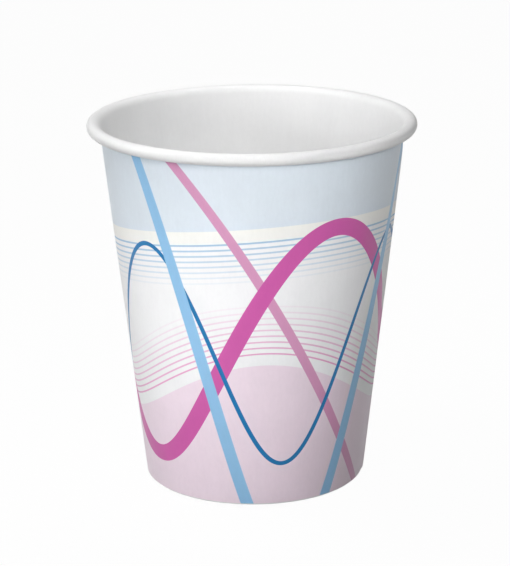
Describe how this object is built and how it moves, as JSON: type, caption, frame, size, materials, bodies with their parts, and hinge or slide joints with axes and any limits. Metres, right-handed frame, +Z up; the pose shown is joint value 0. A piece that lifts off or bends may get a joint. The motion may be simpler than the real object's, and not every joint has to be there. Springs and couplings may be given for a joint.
{
  "type": "paper cup",
  "caption": "Tapered paper drinking cup with a rolled rim, a lapped side seam and a bottom disc set up inside a folded foot.",
  "frame": {"origin": "centre of the foot ring, on the surface that the cup stands on", "axes": "+Z up along the cup's axis, from the foot to the rim; +X towards the lapped side seam"},
  "size_m": [0.08, 0.08, 0.09],
  "materials": {
    "printed_board": "white paperboard with a thin satin coating, printed outside with pale fields and flowing ribbons",
    "plain_board": "unprinted white paperboard with a thin satin coating"
  },
  "bodies": {
    "root": {"side_wall": "printed_board", "bottom_disc": "plain_board"}
  },
  "joints": []
}
